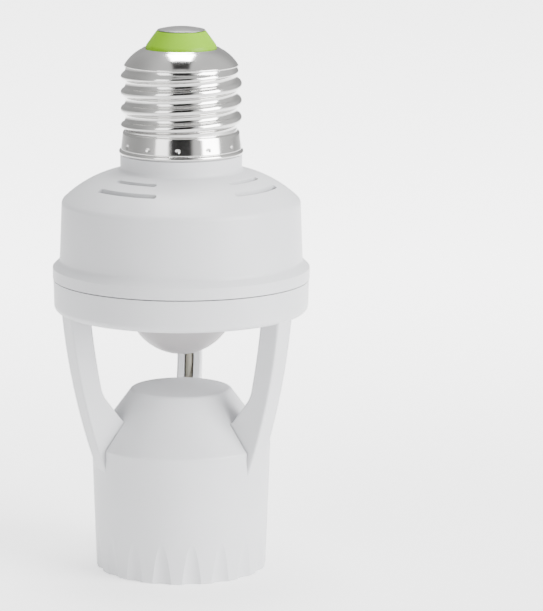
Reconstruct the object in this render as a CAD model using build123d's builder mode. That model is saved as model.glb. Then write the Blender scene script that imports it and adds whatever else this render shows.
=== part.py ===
"""Motion sensor lamp holder: a screw cap on top, a domed housing with the sensor electronics, a dome
lens under its ring, and a lamp socket held below the ring by three arms. It stands on the rim of the
socket's sleeve. Z is up along the screw axis, the origin is the centre of the rim, X is to the right and
the front faces -Y. All sizes are in millimetres."""

import os
from math import atan2, ceil, cos, degrees, radians, sin, tan

from build123d import *

os.makedirs("parts", exist_ok=True)

# General clearances
fit_gap = 0.05          # between pieces pressed or screwed together
running_gap = 0.08      # round a turning stem
knob_gap = 0.25         # round the head of a setting knob
screw_hole_gap = 0.2    # round a screw that passes through

# Sleeve of the lamp socket, from the rim up
sleeve_rim_radius = 18.55
sleeve_top_radius = 19.5
sleeve_height = 27.8
sleeve_wall = 1.75
sleeve_edge_round = 1.0
rim_edge_round = 0.35

# Scallops round the rim
flute_count = 18
flute_first_angle = 277.0
flute_height = 9.0
flute_depth = 0.8
flute_cutter_radius = 3.6
flute_overshoot = 2.0       # the cutter runs past the rim

# Cone over the socket
cone_height = 11.8
cone_top_radius = 10.8
cone_wall = 1.8
cone_edge_round = 1.2

# Arms between the cone and the ring
arm_count = 3
arm_first_angle = 85.0
arm_width = 5.3
arm_depth = 4.75
arm_top_inset = 0.3         # outer face behind the ring's wall
arm_outer_bow = 1.15
arm_inner_bow = 0.25
arm_run_out_drop = 5.6      # the outer face runs out into the sleeve this far below the cone
arm_knee_rise = 0.4         # knee above the top of the cone
arm_knee_reach = 0.17       # beyond the top of the sleeve
arm_knee_bend = 7.0
arm_nose_drop = 5.7         # nose on the cone, below its top
arm_edge_round = 0.45
arm_foot_bury = 0.3         # outer face below the sleeve's surface where it ends
window_height = 17.2
foot_seam_width = 0.3
foot_seam_depth = 0.7
foot_seam_drop = 4.8        # runs out this far below the cone's foot
foot_seam_overshoot = 1.0

# Wire channel in the inner face of each arm
channel_width = 2.1
channel_depth = 2.9
lead_radius = 0.85
lead_inset = 1.05           # middle of the lead behind the arm's inner face
channel_overshoot = 0.6     # in front of the arm's inner face
channel_top_rise = 1.0      # above the ring's floor
channel_foot = ((3.2, -0.8), (-0.5, -5.5), (-2.3, -4.1), (1.4, 0.7), (0.8, 3.5))    # corners, from the nose

# Sensor ring
ring_top_radius = 27.7
ring_draft = 0.2            # narrower at its bottom edge
ring_height = 7.0
ring_floor = 2.4
ring_edge_round = 1.5
lip_inset = 1.8             # lip inside the ring's wall
lip_thickness = 1.3
lip_rise = 2.4              # lip above the ring's top edge
seam_reveal = 0.25          # fine gap all round between ring and housing

# Upper housing
flange_overhang = 0.1       # over the ring
flange_height = 2.45
shoulder_rise = 1.5
shoulder_inset = 1.5        # wall inside the flange
housing_draft = 0.5
housing_wall_rise = 12.9
housing_wall = 1.85
housing_edge_round = 1.5
shoulder_round = 1.0
dome_rise = 6.7
dome_curve_radius = 24.3
neck_overhang = 0.3         # neck wider than the cap's collar
neck_rise = 3.4
neck_round = 0.9
neck_bore_radius = 10.2
spigot_rise = 8.6
spigot_step_drop = 0.5      # wide part of the spigot ends this far below the top of the cap's collar
housing_boss_cap = 2.0      # solid end of the screw bosses

# Vent slots in the dome
vent_group_count = 4
vent_first_angle = 54.3
vent_width = 1.2
vent_rows = ((5.1, 19.5), (8.9, 15.8))      # inset of each row from the wall's top, half its span in degrees

# Screw cap, E27 size
cap_lip_radius = 13.42
cap_lip_height = 1.2
cap_collar_radius = 12.85
cap_collar_height = 3.7
cap_wall = 0.5
thread_pitch = 3.629
thread_root_radius = 12.03
thread_crest_radius = 13.05
thread_land = 0.8
thread_foot_width = 2.8
cap_thread_length = 14.4
cap_thread_phase = 98.9     # height of a crest on the +X side
cap_shoulder_rise = 3.2
cap_brim_radius = 8.3       # top of the shoulder, over its opening by the brim's rise
cap_brim_rise = 0.35
cap_shoulder_curve = 10.0
cap_opening_radius = 7.0
cap_thread_fade = 2.0       # reach of the 45 degree cones at the ends of the thread
dimple_count = 12
dimple_first_angle = -93.0
dimple_rise = 2.2           # above the neck
dimple_ball_radius = 0.85
dimple_depth = 0.35

# Insulator and end contact of the cap
insulator_base_radius = 7.65
insulator_top_radius = 5.35
insulator_height = 4.05
insulator_skirt = 0.85      # upright part at its foot
insulator_skirt_round = 1.5
insulator_foot_round = 0.3
insulator_plug_depth = 3.0
insulator_plug_wall = 1.45
insulator_core_wall = 1.15
contact_radius = 5.15
contact_edge = 0.25
contact_rise = 0.95
contact_stem_radius = 1.25
contact_stem_length = 4.6

# Dome lens
lens_radius = 11.8
lens_wall = 0.6
lens_centre_rise = 2.2      # centre of the dome above the ring's underside
lens_flange_width = 1.6
lens_flange_height = 1.0
lens_hole_gap = 0.1

# Circuit board and its posts
board_gap = 1.1             # inside the ring's lip
board_thickness = 1.6
board_post_height = 5.0
board_post_radius = 1.9
board_post_inset = 3.3      # from the board's edge
board_post_first_angle = 65.0
board_notch_gap = 0.5

# Screws
housing_screw_inset = 2.3   # from the inside of the lip
housing_screw_radius = 1.25
housing_screw_head_radius = 2.1
housing_screw_head_height = 1.4
housing_screw_recess = 1.9
housing_screw_grip = 9.0
housing_screw_tip_gap = 1.0
housing_column_radius = 2.7
board_screw_radius = 0.9
board_screw_head_radius = 1.8
board_screw_head_height = 1.1
board_screw_grip = 4.0
driver_slot_width = 0.6
driver_slot_depth = 0.5
screw_head_round = 0.25     # share of the head's height

# Setting knobs and trimmers
knob_angles = {"time": 245.0, "lux": 285.0}
knob_head_radius = 2.8
knob_recess = 0.2
knob_collar_radius = 3.2
knob_collar_height = 0.8
knob_collar_gap = 0.1
knob_stem_radius = 1.4
knob_slot_width = 0.9
knob_slot_depth = 0.9
knob_slot_reach = 2.2       # from the middle to each end
knob_edge_round = 0.2
knob_stem_gap = 0.6         # under the board
trimmer_size = 6.6
trimmer_height = 2.6

# Sensor can and light cell
sensor_can_radius = 4.1
sensor_can_height = 3.7
sensor_flange_radius = 4.6
sensor_flange_height = 0.5
sensor_standoff = 2.0
sensor_window = (4.0, 3.0)
sensor_window_depth = 0.25
sensor_leg_radius = 0.22
sensor_leg_circle = 2.54
sensor_edge_round = 0.4
photocell_radius = 2.15
photocell_height = 2.0
photocell_standoff = 1.6
photocell_offset = 7.4
photocell_angle = 150.0

# Components on top of the board: size, then centre on the board
relay_size = (15.4, 19.0, 15.2)
relay_place = (-9.0, -6.0)
dropper_size = (17.6, 8.4, 14.5)
dropper_place = (8.7, -9.2)
filter_radius = 5.0
filter_height = 12.5
filter_place = (13.7, 3.0)
filter_score_width = 0.4
filter_score_depth = 0.3
rectifier_size = (8.4, 6.4, 3.4)
rectifier_place = (3.8, 1.0)
chip_size = (19.4, 6.4, 3.3)
chip_place = (-2.5, 13.2)
chip_leg_pitch = 2.54
chip_leg_size = (0.5, 0.3)
chip_lift = 0.8
chip_notch_radius = 0.8
resistor_radius = 1.8
resistor_length = 8.6
resistor_place = (-9.5, 6.9)
resistor_rise = 2.3
resistor_edge_round = 0.6
resistor_leg_radius = 0.3
resistor_leg_reach = 5.8    # from the middle to each leg
resistor_leg_bend = 0.8
component_round = 0.5

# Lamp socket
thread_play = 0.2           # of the socket's thread over the cap's
liner_gap = 0.1
liner_base = 2.6
liner_mouth_height = 4.0
liner_edge_round = 0.5
screw_shell_mouth_height = 5.5
screw_shell_outer_radius = 13.9
screw_shell_flange = 0.5
screw_shell_flange_radius = 9.3
groove_end_gap = 0.4        # between the end of the groove and the shell's flange
socket_screw_circle = 6.9
socket_screw_angle = 115.0
socket_screw_radius = 1.2
socket_screw_head_radius = 2.2
socket_screw_head_height = 1.2
socket_screw_grip = 5.0
socket_boss_radius = 2.5
shell_rivet_circle = 10.8
shell_rivet_angle = 85.0
rivet_radius = 0.8
rivet_head_radius = 1.3
rivet_head_height = 0.5
rivet_head_round = 0.35
contact_strip_angle = 205.0
contact_strip_width = 5.0
contact_strip_thickness = 0.4
contact_strip_foot = 2.1    # strip beyond the middle of its rivet
contact_strip_bend = (4.0, 0.8)     # where it leaves the liner, and the radius of its bends
contact_strip_end = (4.1, 1.4)      # end of the strip past the axis, and its rise over the tip
contact_rivet_circle = 6.6
contact_strip_tip_drop = 3.4

# Leads: way points as distances from the features beside them
socket_lead_board_inset = 1.1       # inside the board's edge
socket_lead_drop = 1.8              # straight down from the board
socket_lead_ring = (0.0, 1.0)       # from the arm's inner face and the ring's underside
socket_lead_arm = (-0.95, -7.7)
socket_lead_knee = (0.4, 2.0)       # from the knee
socket_lead_foot = ((5.3, 4.1), (2.2, -0.1))        # from the nose
socket_lead_turn_radius = 14.0      # where it lies down on the liner
neutral_lead_end_radius = 9.8
# Leads of the cap: x, y and height over the neck's top; both end straight down on the board
cap_live_lead_way = ((0.0, 0.0, 14.3), (1.4, 1.2, 4.5), (3.0, 4.2, -8.5), (4.3, 7.2, -17.0))
cap_neutral_lead_way = ((-7.5, 7.5, 14.4), (-7.5, 7.5, 11.8), (-6.2, 6.2, 7.8), (-6.0, 6.2, 1.5),
                        (-5.2, 6.8, -6.5), (-2.6, 8.0, -17.5))

# Radii worked out from the sizes above, from the ring inwards
ring_bottom_radius = ring_top_radius - ring_draft
lip_outer_radius = ring_top_radius - lip_inset
lip_inner_radius = lip_outer_radius - lip_thickness
flange_radius = ring_top_radius + flange_overhang
housing_base_radius = flange_radius - shoulder_inset
housing_top_radius = housing_base_radius - housing_draft
neck_radius = cap_collar_radius + neck_overhang
board_radius = lip_inner_radius - board_gap
board_post_circle = board_radius - board_post_inset
housing_screw_circle = lip_inner_radius - housing_screw_inset
lens_flange_radius = lens_radius + lens_flange_width
knob_circle = (lens_flange_radius + lip_inner_radius) / 2
arm_knee_radius = sleeve_top_radius + arm_knee_reach

# Heights worked out from the sizes above, from the rim at 0 up to the end contact
sleeve_bore_radius = sleeve_rim_radius - sleeve_wall
cone_top = sleeve_height + cone_height
ring_bottom = cone_top + window_height
ring_floor_top = ring_bottom + ring_floor
ring_top = ring_bottom + ring_height
lip_top = ring_top + lip_rise
housing_bottom = ring_top + seam_reveal
flange_top = housing_bottom + flange_height
shoulder_top = flange_top + shoulder_rise
wall_top = shoulder_top + housing_wall_rise
neck_base = wall_top + dome_rise
neck_top = neck_base + neck_rise
collar_base = neck_top + cap_lip_height
collar_top = collar_base + cap_collar_height
shoulder_base = collar_top + cap_thread_length
opening_top = shoulder_base + cap_shoulder_rise
insulator_top = opening_top + insulator_height
board_bottom = ring_floor_top + board_post_height
board_top = board_bottom + board_thickness
lens_centre = ring_bottom + lens_centre_rise
socket_base_top = sleeve_height
socket_base_bottom = socket_base_top - liner_base
screw_shell_top = socket_base_bottom

cone_run = sleeve_top_radius - cone_top_radius
cone_half_angle = atan2(cone_run, cone_height)
arm_top_radius = ring_bottom_radius - arm_top_inset
housing_inner_top_radius = housing_top_radius - housing_wall
neck_inner_base = neck_base - housing_wall
cap_bore_radius = thread_root_radius - cap_wall
spigot_radius = cap_collar_radius - cap_wall - fit_gap
upper_spigot_radius = cap_bore_radius - fit_gap
inner_wall_top = wall_top - housing_wall / 2
spigot_step = collar_top - spigot_step_drop
spigot_top = neck_top + spigot_rise
dome_inner_radius = dome_curve_radius - housing_wall
cap_thread_start = cap_thread_phase - thread_pitch


def sleeve_radius(z):
    """Outer radius of the sleeve at height z."""
    return sleeve_rim_radius + (sleeve_top_radius - sleeve_rim_radius) * z / sleeve_height


def cone_radius(z):
    """Outer radius of the cone at height z."""
    return sleeve_top_radius - cone_run * (z - sleeve_height) / cone_height


def polar(radius, angle, z):
    """Point at a radius and an angle in degrees round the Z axis."""
    return (radius * cos(radians(angle)), radius * sin(radians(angle)), z)


def radial_plane(angle):
    """Upright plane through the Z axis: its x runs outwards at the angle and its y runs up."""
    x, y, _ = polar(1, angle, 0)
    return Plane(origin=(0, 0, 0), x_dir=(x, y, 0), z_dir=(y, -x, 0))


def lead_radii(name, points):
    """Bend radius at each corner of a lead: 0.45 of the shorter run over the tangent of half the turn."""
    corners = [Vector(*point) for point in points]
    radii = []
    for before, corner, after in zip(corners, corners[1:], corners[2:]):
        run_in, run_out = corner - before, after - corner
        half_turn = radians(run_in.get_angle(run_out)) / 2
        radii.append(0.45 * min(run_in.length, run_out.length) / tan(half_turn))
    print(name, "bend radii", [round(radius, 1) for radius in radii])
    return radii


def build_lead(name, points):
    """Round lead along straight runs joined by tangent arcs."""
    with BuildPart() as lead:
        with BuildLine() as route:
            FilletPolyline(*points, radius=lead_radii(name, points))
        with BuildSketch(Plane(origin=route.line @ 0, z_dir=route.line % 0)):
            Circle(lead_radius)
        sweep()
    return lead


def build_ridge(root, crest, first_height, last_height):
    """Right-handed helical ridge whose middle line starts on the +X side at first_height.

    The flanks start a little inside the root radius, so that they cross the wall that carries them.
    """
    depth, overrun = crest - root, 0.2
    slope = (thread_foot_width - thread_land) / 2 / depth
    foot, tip = thread_foot_width / 2 + slope * overrun, thread_land / 2
    with BuildPart() as ridge:
        with BuildLine() as path:
            Helix(thread_pitch, last_height - first_height, root, center=(0, 0, first_height))
        with BuildSketch(Plane(origin=(0, 0, first_height), x_dir=(1, 0, 0), z_dir=(0, -1, 0))):
            with BuildLine():
                Polyline((root - overrun, -foot), (crest, -tip), (crest, tip), (root - overrun, foot),
                         close=True)
            make_face()
        sweep(path=path.line, is_frenet=True)
    return ridge


# Lower frame: ring, arms, cone and sleeve in one moulding
with BuildPart() as arm:
    arm_top = ring_bottom + ring_floor / 2
    outer_top = (arm_top_radius, arm_top)
    run_out = sleeve_height - arm_run_out_drop
    outer_foot = (sleeve_radius(run_out) - arm_foot_bury, run_out)
    inner_top = (arm_top_radius - arm_depth, arm_top)
    knee = (arm_knee_radius, cone_top + arm_knee_rise)
    nose_height = cone_top - arm_nose_drop
    nose = (cone_radius(nose_height), nose_height)
    # The foot is sunk to the middle of the cone's wall
    sunk = cone_wall / 2
    sunk_nose = (nose[0] - sunk * cos(cone_half_angle), nose_height - sunk * sin(cone_half_angle))
    sunk_corner = (sleeve_top_radius - 0.6 * cone_wall, sleeve_height - 0.3 * cone_wall)
    with BuildSketch(Plane.XZ):
        with BuildLine():
            SagittaArc(outer_top, outer_foot, arm_outer_bow)
            Polyline(outer_foot, (sunk_corner[0], run_out), sunk_corner, sunk_nose, nose, knee)
            SagittaArc(knee, inner_top, -arm_inner_bow)
            Line(inner_top, outer_top)
        make_face()
        fillet(vertices().sort_by_distance(knee)[0], radius=arm_knee_bend)
    extrude(amount=arm_width / 2, both=True)
    sides = edges().group_by(Axis.Y)[0] + edges().group_by(Axis.Y)[-1]
    straight = sides.filter_by(GeomType.LINE)
    nose_edges = straight.filter_by(
        lambda edge: nose[0] < (edge @ 0.5).X < knee[0] and (edge @ 0.5).Z > nose_height)
    fillet(sides.filter_by(GeomType.CIRCLE) + nose_edges, radius=arm_edge_round)

with BuildPart() as channel:
    # The floor follows the arm's inner face; at the foot the channel turns in under the nose
    floor_top = (inner_top[0] + channel_depth, arm_top)
    floor_knee = (knee[0] + channel_depth, knee[1])
    foot_corners = [(nose[0] + x, nose_height + z) for x, z in channel_foot]
    open_side = inner_top[0] - channel_overshoot
    channel_top = ring_floor_top + channel_top_rise
    with BuildSketch(Plane.XZ):
        with BuildLine():
            SagittaArc(floor_top, floor_knee, arm_inner_bow)
            Polyline(floor_knee, *foot_corners, (open_side, arm_top), (open_side, channel_top),
                     (floor_top[0], channel_top), floor_top)
        make_face()
    extrude(amount=channel_width / 2, both=True)

with BuildPart() as foot_seam:
    # Fine groove along both sides of the foot, down the cone and running out on the sleeve
    seam_end = sleeve_height - foot_seam_drop
    slope_x, slope_z = cos(cone_half_angle), sin(cone_half_angle)
    corner_height = sleeve_height - foot_seam_depth / 2
    with BuildSketch(Plane.XZ):
        with BuildLine():
            Polyline((nose[0] - foot_seam_depth * slope_x, nose[1] - foot_seam_depth * slope_z),
                     (nose[0] + foot_seam_overshoot * slope_x, nose[1] + foot_seam_overshoot * slope_z),
                     (sleeve_top_radius + foot_seam_overshoot, sleeve_height),
                     (sleeve_top_radius + foot_seam_overshoot, seam_end), (sleeve_radius(seam_end), seam_end),
                     (sleeve_top_radius - foot_seam_depth, corner_height), close=True)
        make_face()
    extrude(amount=arm_width / 2 + foot_seam_width, both=True)
    with BuildSketch(Plane.XZ):
        Rectangle(4 * sleeve_top_radius, 4 * cone_top)
    extrude(amount=arm_width / 2, both=True, mode=Mode.SUBTRACT)

with BuildPart() as flute:
    # Round cutter, leaned so that it cuts deepest at the rim and runs out at the flute's top
    lean = degrees(atan2(sleeve_radius(flute_height) - sleeve_rim_radius + flute_depth, flute_height))
    leaned = Plane(origin=(sleeve_rim_radius - flute_depth, 0, 0)).rotated((0, lean, 0))
    with BuildSketch(leaned.offset(-flute_overshoot)):
        with Locations((flute_cutter_radius, 0)):
            Circle(flute_cutter_radius)
    extrude(amount=2 * flute_height)

with BuildPart() as lower_frame:
    # Sleeve and cone, a shell of revolution
    inner_run = cone_wall / cos(cone_half_angle)
    inner_cone_top = cone_top - cone_wall
    inner_cone_rise = (sleeve_top_radius - inner_run - sleeve_bore_radius) * cone_height / cone_run
    with BuildSketch(Plane.XZ):
        with BuildLine():
            Polyline((sleeve_bore_radius, 0), (sleeve_rim_radius, 0), (sleeve_top_radius, sleeve_height),
                     (cone_top_radius, cone_top), (0, cone_top), (0, inner_cone_top),
                     (cone_radius(inner_cone_top) - inner_run, inner_cone_top),
                     (sleeve_bore_radius, sleeve_height + inner_cone_rise), close=True)
        make_face()
        for corner, radius in (((cone_top_radius, cone_top), cone_edge_round),
                               ((sleeve_top_radius, sleeve_height), sleeve_edge_round),
                               ((sleeve_rim_radius, 0), rim_edge_round)):
            fillet(vertices().sort_by_distance(corner)[0], radius=radius)
    revolve(axis=Axis.Z)
    for index in range(flute_count):
        add(flute.part, rotation=(0, 0, flute_first_angle + index * 360 / flute_count), mode=Mode.SUBTRACT)

    # Sensor ring with its floor and the lip that the upper housing sits on
    with BuildSketch(Plane.XZ):
        with BuildLine():
            Polyline((lens_radius + lens_hole_gap, ring_bottom), (ring_bottom_radius, ring_bottom),
                     (ring_top_radius, ring_top), (lip_outer_radius, ring_top), (lip_outer_radius, lip_top),
                     (lip_inner_radius, lip_top), (lip_inner_radius, ring_floor_top),
                     (lens_radius + lens_hole_gap, ring_floor_top), close=True)
        make_face()
        fillet(vertices().sort_by_distance((ring_bottom_radius, ring_bottom))[0], radius=ring_edge_round)
    revolve(axis=Axis.Z)

    with PolarLocations(0, arm_count, start_angle=arm_first_angle):
        add(arm.part)
    with PolarLocations(0, arm_count, start_angle=arm_first_angle):
        add(channel.part, mode=Mode.SUBTRACT)
        add(foot_seam.part, mode=Mode.SUBTRACT)

    # Columns for the housing screws, half way between the arms, and posts for the board above the arms
    column_angle = arm_first_angle + 180 / arm_count
    with BuildSketch(Plane.XY.offset(ring_floor_top)):
        with PolarLocations(housing_screw_circle, arm_count, start_angle=column_angle):
            Circle(housing_column_radius)
    extrude(amount=lip_top - ring_floor_top)
    with BuildSketch(Plane.XY.offset(ring_floor_top)):
        with PolarLocations(board_post_circle, arm_count, start_angle=board_post_first_angle):
            Circle(board_post_radius)
            Circle(board_screw_radius + fit_gap, mode=Mode.SUBTRACT)
    extrude(amount=board_post_height)
    with Locations(Plane.XY.offset(ring_bottom)):
        with PolarLocations(housing_screw_circle, arm_count, start_angle=column_angle):
            CounterBoreHole(housing_screw_radius + screw_hole_gap, housing_screw_head_radius + screw_hole_gap,
                            housing_screw_recess)
    # Wells for the setting knobs
    with BuildSketch(Plane.XY.offset(ring_bottom)):
        for angle in knob_angles.values():
            with Locations(polar(knob_circle, angle, 0)[:2]):
                Circle(knob_head_radius + knob_gap)
    extrude(amount=ring_floor, mode=Mode.SUBTRACT)

    # Bosses inside the cone for the screws of the socket liner
    with BuildSketch(Plane.XY.offset(socket_base_top)):
        with PolarLocations(socket_screw_circle, 2, start_angle=socket_screw_angle):
            Circle(socket_boss_radius)
            Circle(socket_screw_radius + fit_gap, mode=Mode.SUBTRACT)
    extrude(amount=inner_cone_top - socket_base_top + cone_wall / 4)


# Upper housing: domed shell with vents, neck and the spigot that the screw cap is crimped on
with BuildPart() as upper_housing:
    with BuildSketch(Plane.XZ):
        with BuildLine():
            Polyline((lip_outer_radius + fit_gap, housing_bottom), (flange_radius, housing_bottom),
                     (flange_radius, flange_top), (housing_base_radius, shoulder_top),
                     (housing_top_radius, wall_top))
            RadiusArc((housing_top_radius, wall_top), (neck_radius, neck_base), -dome_curve_radius)
            Polyline((neck_radius, neck_base), (neck_radius, neck_top), (spigot_radius, neck_top),
                     (spigot_radius, spigot_step), (upper_spigot_radius, spigot_step),
                     (upper_spigot_radius, spigot_top), (neck_bore_radius, spigot_top),
                     (neck_bore_radius, neck_inner_base))
            RadiusArc((neck_bore_radius, neck_inner_base), (housing_inner_top_radius, inner_wall_top),
                      dome_inner_radius)
            Polyline((housing_inner_top_radius, inner_wall_top), (lip_inner_radius, lip_top),
                     (lip_outer_radius + fit_gap, lip_top), (lip_outer_radius + fit_gap, housing_bottom))
        make_face()
        for corner, radius in (((housing_base_radius, shoulder_top), shoulder_round),
                               ((housing_top_radius, wall_top), housing_edge_round),
                               ((neck_radius, neck_base), neck_round)):
            fillet(vertices().sort_by_distance(corner)[0], radius=radius)
    revolve(axis=Axis.Z)

    for group in range(vent_group_count):
        middle = vent_first_angle + group * 360 / vent_group_count
        for inset, half_span in vent_rows:
            with BuildSketch(Plane.XY.offset(wall_top - housing_wall)):
                with BuildLine(mode=Mode.PRIVATE) as middle_line:
                    CenterArc((0, 0), housing_top_radius - inset, middle - half_span, 2 * half_span)
                SlotArc(middle_line.edge(), vent_width)
            extrude(amount=dome_rise + 2 * housing_wall, mode=Mode.SUBTRACT)

    # Bosses that the housing screws bite into, kept inside the dome
    with BuildSketch(Plane.XY.offset(lip_top)):
        with PolarLocations(housing_screw_circle, arm_count, start_angle=column_angle):
            Circle(housing_column_radius)
    extrude(amount=housing_screw_grip + housing_boss_cap)
    with BuildSketch(Plane.XY.offset(lip_top)):
        with PolarLocations(housing_screw_circle, arm_count, start_angle=column_angle):
            Circle(housing_screw_radius + fit_gap)
    extrude(amount=housing_screw_grip, mode=Mode.SUBTRACT)


# Screw cap, one drawn and rolled shell
cap_thread_end = shoulder_base + thread_pitch / 2
cap_ridge = build_ridge(thread_root_radius, thread_crest_radius, cap_thread_start, cap_thread_end)
with BuildPart() as cap_thread:
    # The ridge fades out at both ends along 45 degree cones
    add(cap_ridge.part)
    with BuildSketch(Plane.XZ):
        with BuildLine():
            Polyline((0, collar_top), (thread_root_radius, collar_top),
                     (thread_root_radius + cap_thread_fade, collar_top + cap_thread_fade),
                     (thread_root_radius + cap_thread_fade, shoulder_base - cap_thread_fade),
                     (thread_root_radius, shoulder_base), (0, shoulder_base), close=True)
        make_face()
    revolve(axis=Axis.Z, mode=Mode.INTERSECT)

with BuildPart() as cap_shell:
    brim = (cap_brim_radius, opening_top + cap_brim_rise)
    with BuildSketch(Plane.XZ):
        with BuildLine():
            Polyline((spigot_radius + fit_gap, neck_top), (cap_lip_radius, neck_top),
                     (cap_lip_radius, collar_base), (cap_collar_radius, collar_base),
                     (cap_collar_radius, collar_top), (thread_root_radius, collar_top),
                     (thread_root_radius, shoulder_base))
            RadiusArc((thread_root_radius, shoulder_base), brim, -cap_shoulder_curve)
            Polyline(brim, (insulator_base_radius, opening_top), (cap_opening_radius, opening_top),
                     (cap_opening_radius, opening_top - cap_wall),
                     (insulator_base_radius, opening_top - cap_wall), (brim[0], brim[1] - cap_wall))
            RadiusArc((brim[0], brim[1] - cap_wall), (cap_bore_radius, shoulder_base),
                      cap_shoulder_curve - cap_wall)
            Polyline((cap_bore_radius, shoulder_base), (cap_bore_radius, spigot_step + fit_gap),
                     (spigot_radius + fit_gap, spigot_step + fit_gap), (spigot_radius + fit_gap, neck_top))
        make_face()
        for corner in ((cap_lip_radius, neck_top), (cap_lip_radius, collar_base)):
            fillet(vertices().sort_by_distance(corner)[0], radius=0.4 * cap_lip_height)
    revolve(axis=Axis.Z)
    add(cap_thread.part)

    with PolarLocations(cap_collar_radius + dimple_ball_radius - dimple_depth, dimple_count,
                        start_angle=dimple_first_angle):
        with Locations((0, 0, neck_top + dimple_rise)):
            Sphere(dimple_ball_radius, mode=Mode.SUBTRACT)


# Insulator: a flared cone on the cap's rim, with a plug through the rim
with BuildPart() as cap_insulator:
    stem_bore = contact_stem_radius + fit_gap
    plug_radius = cap_opening_radius - fit_gap
    skirt_top = (insulator_base_radius, opening_top + insulator_skirt)
    with BuildSketch(Plane.XZ):
        with BuildLine():
            Polyline((stem_bore, insulator_top), (insulator_top_radius, insulator_top), skirt_top,
                     (insulator_base_radius, opening_top), (plug_radius, opening_top),
                     (plug_radius, opening_top - insulator_plug_depth),
                     (plug_radius - insulator_plug_wall, opening_top - insulator_plug_depth),
                     (stem_bore + insulator_core_wall, opening_top), (stem_bore, opening_top), close=True)
        make_face()
        fillet(vertices().sort_by_distance(skirt_top)[0], radius=insulator_skirt_round)
        skirt_foot = vertices().sort_by_distance((insulator_base_radius, opening_top))[0]
        fillet(skirt_foot, radius=insulator_foot_round)
    revolve(axis=Axis.Z)

with BuildPart() as cap_contact:
    dome_height = contact_rise - contact_edge
    dome_rise_radius = (contact_radius ** 2 + dome_height ** 2) / (2 * dome_height)
    edge_top = insulator_top + contact_edge
    with BuildSketch(Plane.XZ):
        with BuildLine():
            Polyline((0, insulator_top), (contact_radius, insulator_top), (contact_radius, edge_top))
            RadiusArc((contact_radius, edge_top), (0, insulator_top + contact_rise), -dome_rise_radius)
            Line((0, insulator_top + contact_rise), (0, insulator_top))
        make_face()
    revolve(axis=Axis.Z)
    with BuildSketch(Plane.XY.offset(insulator_top)):
        Circle(contact_stem_radius)
    extrude(amount=-contact_stem_length)


# Dome lens: half a thin sphere, a short collar through the floor and a flange on it
with BuildPart() as pir_lens:
    inside = lens_radius - lens_wall
    lens_flange_top = ring_floor_top + lens_flange_height
    with BuildSketch(Plane.XZ):
        with BuildLine():
            CenterArc((0, lens_centre), lens_radius, -90, 90)
            Polyline((lens_radius, lens_centre), (lens_radius, ring_floor_top),
                     (lens_flange_radius, ring_floor_top), (lens_flange_radius, lens_flange_top),
                     (inside, lens_flange_top), (inside, lens_centre))
            CenterArc((0, lens_centre), inside, -90, 90)
            Line((0, lens_centre - inside), (0, lens_centre - lens_radius))
        make_face()
    revolve(axis=Axis.Z)


# Circuit board, notched round the columns and drilled for its screws
with BuildPart() as circuit_board:
    with BuildSketch(Plane.XY.offset(board_bottom)):
        Circle(board_radius)
        with PolarLocations(housing_screw_circle, arm_count, start_angle=column_angle):
            Circle(housing_column_radius + board_notch_gap, mode=Mode.SUBTRACT)
        with PolarLocations(board_post_circle, arm_count, start_angle=board_post_first_angle):
            Circle(board_screw_radius + screw_hole_gap / 2, mode=Mode.SUBTRACT)
    extrude(amount=board_thickness)


def build_screw(radius, length, head_radius, head_height):
    """Screw that points up from the underside of its head at height 0, with a slot in the head."""
    with BuildPart() as screw:
        with BuildSketch():
            Circle(radius)
        extrude(amount=length)
        with BuildSketch(Plane.XY.offset(-head_height)):
            Circle(head_radius)
        extrude(amount=head_height)
        fillet(edges().group_by(Axis.Z)[0], radius=screw_head_round * head_height)
        with BuildSketch(Plane.XY.offset(-head_height)):
            Rectangle(2 * head_radius, driver_slot_width)
        extrude(amount=driver_slot_depth, mode=Mode.SUBTRACT)
    return screw


housing_screw_seat = ring_bottom + housing_screw_recess
housing_screw_length = lip_top + housing_screw_grip - housing_screw_tip_gap - housing_screw_seat
housing_screw = build_screw(housing_screw_radius, housing_screw_length, housing_screw_head_radius,
                            housing_screw_head_height)
with BuildPart() as housing_screws:
    with Locations(Plane.XY.offset(housing_screw_seat)):
        with PolarLocations(housing_screw_circle, arm_count, start_angle=column_angle):
            add(housing_screw.part)

board_screw = build_screw(board_screw_radius, board_thickness + board_screw_grip, board_screw_head_radius,
                          board_screw_head_height)
with BuildPart() as board_screws:
    with Locations(Plane((0, 0, board_top), x_dir=(1, 0, 0), z_dir=(0, 0, -1))):
        with PolarLocations(board_post_circle, arm_count, start_angle=-board_post_first_angle):
            add(board_screw.part)


def build_knob(angle):
    """Slotted setting knob: head in the floor's well, collar above it and a stem up into the trimmer."""
    head_bottom = ring_bottom + knob_recess
    collar_bottom = ring_floor_top + knob_collar_gap
    with BuildPart() as knob:
        with BuildSketch(Plane(polar(knob_circle, angle, head_bottom))):
            Circle(knob_head_radius)
        extrude(amount=collar_bottom - head_bottom)
        fillet(edges().group_by(Axis.Z)[0], radius=knob_edge_round)
        with BuildSketch(Plane(polar(knob_circle, angle, collar_bottom))):
            Circle(knob_collar_radius)
        extrude(amount=knob_collar_height)
        with BuildSketch(Plane(polar(knob_circle, angle, collar_bottom + knob_collar_height))):
            Circle(knob_stem_radius)
        extrude(amount=board_bottom - knob_stem_gap - collar_bottom - knob_collar_height)
        with BuildSketch(Plane(polar(knob_circle, angle, head_bottom))):
            Rectangle(2 * knob_slot_reach, knob_slot_width)
            with Locations((knob_slot_reach, 0)):
                RegularPolygon(knob_slot_width, 3, major_radius=False)
        extrude(amount=knob_slot_depth, mode=Mode.SUBTRACT)
    return knob


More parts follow.
